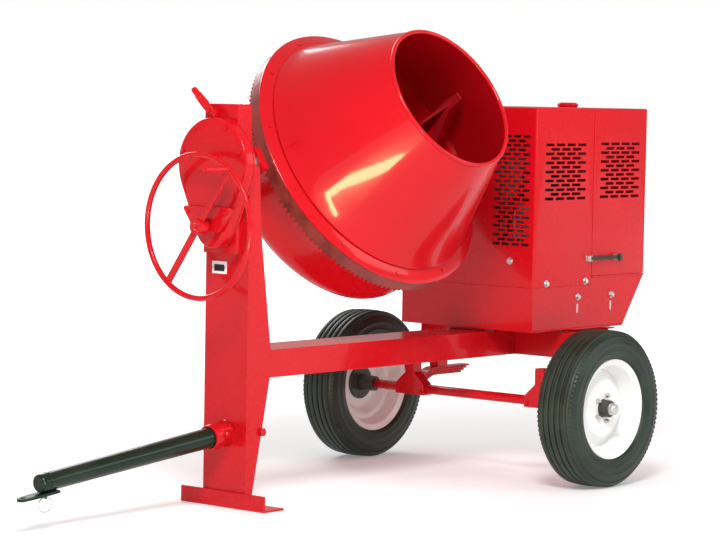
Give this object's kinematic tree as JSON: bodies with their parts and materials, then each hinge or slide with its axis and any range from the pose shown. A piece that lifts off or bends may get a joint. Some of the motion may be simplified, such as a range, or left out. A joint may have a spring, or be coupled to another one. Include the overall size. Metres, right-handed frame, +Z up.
{
  "type": "concrete mixer",
  "caption": "Towable concrete mixer: a geared tilting drum in a cradle between a front post with hand wheel and a louvred engine cabinet, on a beam with two road wheels and a tow bar.",
  "frame": {"origin": "middle of the front foot's sole, on the ground", "axes": "+X from the foot back to the engine cabinet, +Y away from the side the drum pours to at rest, +Z up"},
  "size_m": [3.1416, 1.393, 1.7584],
  "materials": {
    "red_paint": "gloss red enamel",
    "bowl_paint": "gloss dark red enamel",
    "drawbar_paint": "semi-gloss green-black",
    "rim_paint": "satin cream",
    "steel": "bright machined steel",
    "cast_iron": "cast and machined",
    "bronze": "oiled bearing bronze",
    "aluminium": "cast",
    "black_plastic": "matt black",
    "belt_rubber": "matt",
    "tyre_rubber": "matt"
  },
  "bodies": {
    "frame": {"foot_channel": "red_paint", "front_post": "red_paint", "head_box": "red_paint", "front_bush": "bronze", "gear_housing": "red_paint", "pinion_cover": "red_paint", "latch_bracket": "red_paint", "label_plate": "steel", "tow_bar": "drawbar_paint", "tow_socket": "red_paint", "tow_pin": "steel", "tow_tongue": "drawbar_paint", "main_beam": "red_paint", "outrigger_near": "red_paint", "outrigger_far": "red_paint", "rear_cross_member": "red_paint", "leaf_spring_near": "red_paint", "leaf_spring_far": "red_paint", "rear_bearing": "bowl_paint", "hood_front": "red_paint", "base_tray": "red_paint", "engine_stand": "bowl_paint", "engine_block": "aluminium", "engine_cowl": "black_plastic", "fuel_tank": "black_plastic", "muffler": "steel", "v_belt": "belt_rubber"},
    "axle": {"axle_bar": "red_paint", "axle_seat_near": "red_paint", "axle_seat_far": "red_paint"},
    "wheel_near": {"hub_near": "cast_iron", "rim_near": "rim_paint", "tyre_near": "tyre_rubber"},
    "wheel_far": {"hub_far": "cast_iron", "rim_far": "rim_paint", "tyre_far": "tyre_rubber"},
    "cradle": {"yoke": "red_paint", "front_trunnion": "steel", "rear_trunnion": "steel", "tilt_gear": "cast_iron", "drum_spindle": "steel"},
    "drum": {"drum_bowl": "bowl_paint", "drum_cone": "red_paint", "gear_guard": "red_paint", "ring_gear": "cast_iron", "drum_hub": "cast_iron", "mixing_paddle_a": "bowl_paint", "mixing_paddle_b": "bowl_paint"},
    "pinion": {"pinion_shaft": "steel"},
    "drive": {"drive_shaft": "steel", "drum_pulley": "cast_iron"},
    "engine_drive": {"engine_pulley": "cast_iron"},
    "hand_wheel": {"hand_wheel": "red_paint", "wheel_shaft": "steel"},
    "latch": {"latch_lever": "red_paint"},
    "hood": {"hood_door": "red_paint", "hood_cap": "red_paint"},
    "draw_latch_near": {"draw_latch_near": "steel"},
    "draw_latch_far": {"draw_latch_far": "steel"},
    "safety_ring": {"safety_ring": "steel"}
  },
  "joints": [
    {"name": "axle_travel", "type": "slide", "parent": "frame", "child": "axle", "axis": [0, 0, 1], "range_m": [-0.02, 0.02], "stiffness_N_per_m": 86000, "springref_m": -0.03488, "deforming": ["leaf_spring_near", "leaf_spring_far"]},
    {"name": "wheel_near_roll", "type": "hinge", "parent": "axle", "child": "wheel_near", "pos_m": [1.425, -0.6085, 0.3075], "axis": [0, 1, 0], "continuous": true},
    {"name": "wheel_far_roll", "type": "hinge", "parent": "axle", "child": "wheel_far", "pos_m": [1.425, 0.6085, 0.3075], "axis": [0, 1, 0], "continuous": true},
    {"name": "drum_tilt", "type": "hinge", "parent": "frame", "child": "cradle", "pos_m": [0.696, 0, 1.25], "axis": [1, 0, 0], "range_deg": [-57.6, 72]},
    {"name": "drum_spin", "type": "hinge", "parent": "cradle", "child": "drum", "pos_m": [0.696, 0, 1.25], "axis": [0, -0.8583, 0.5131], "continuous": true},
    {"name": "pinion_spin", "type": "hinge", "parent": "cradle", "child": "pinion", "pos_m": [0.696, 0.05516, 1.21703], "axis": [1, 0, 0], "continuous": true},
    {"name": "drive_spin", "type": "hinge", "parent": "cradle", "child": "drive", "pos_m": [0.696, 0, 1.25], "axis": [1, 0, 0], "continuous": true},
    {"name": "engine_spin", "type": "hinge", "parent": "frame", "child": "engine_drive", "pos_m": [1.475, 0, 0.86], "axis": [1, 0, 0], "continuous": true},
    {"name": "hand_wheel_turn", "type": "hinge", "parent": "frame", "child": "hand_wheel", "pos_m": [-0.197, 0, 1.0295], "axis": [1, 0, 0], "range_deg": [-180.5, 144.5]},
    {"name": "latch_turn", "type": "hinge", "parent": "frame", "child": "latch", "pos_m": [-0.107, 0.03, 1.445], "axis": [1, 0, 0], "range_deg": [0, 9]},
    {"name": "hood_lift", "type": "hinge", "parent": "frame", "child": "hood", "pos_m": [1.7295, 0, 1.473], "axis": [0, -1, 0], "range_deg": [0, 80]},
    {"name": "draw_latch_near_turn", "type": "hinge", "parent": "frame", "child": "draw_latch_near", "pos_m": [1.686, -0.3374, 0.868], "axis": [0, 0, -1], "range_deg": [0, 90]},
    {"name": "draw_latch_far_turn", "type": "hinge", "parent": "frame", "child": "draw_latch_far", "pos_m": [1.686, 0.3374, 0.868], "axis": [0, 0, 1], "range_deg": [0, 90]},
    {"name": "safety_ring_swing", "type": "hinge", "parent": "frame", "child": "safety_ring", "pos_m": [-0.92234, 0, 0.1226], "axis": [0, 1, 0], "range_deg": [-20, 20]}
  ],
  "couplings": [
    {"joint": "pinion_spin", "follows": "drum_spin", "ratio": -12.5},
    {"joint": "drive_spin", "follows": "drum_spin", "ratio": 17.188},
    {"joint": "engine_spin", "follows": "drum_spin", "ratio": 70.66},
    {"joint": "hand_wheel_turn", "follows": "drum_tilt", "ratio": -2.5}
  ]
}
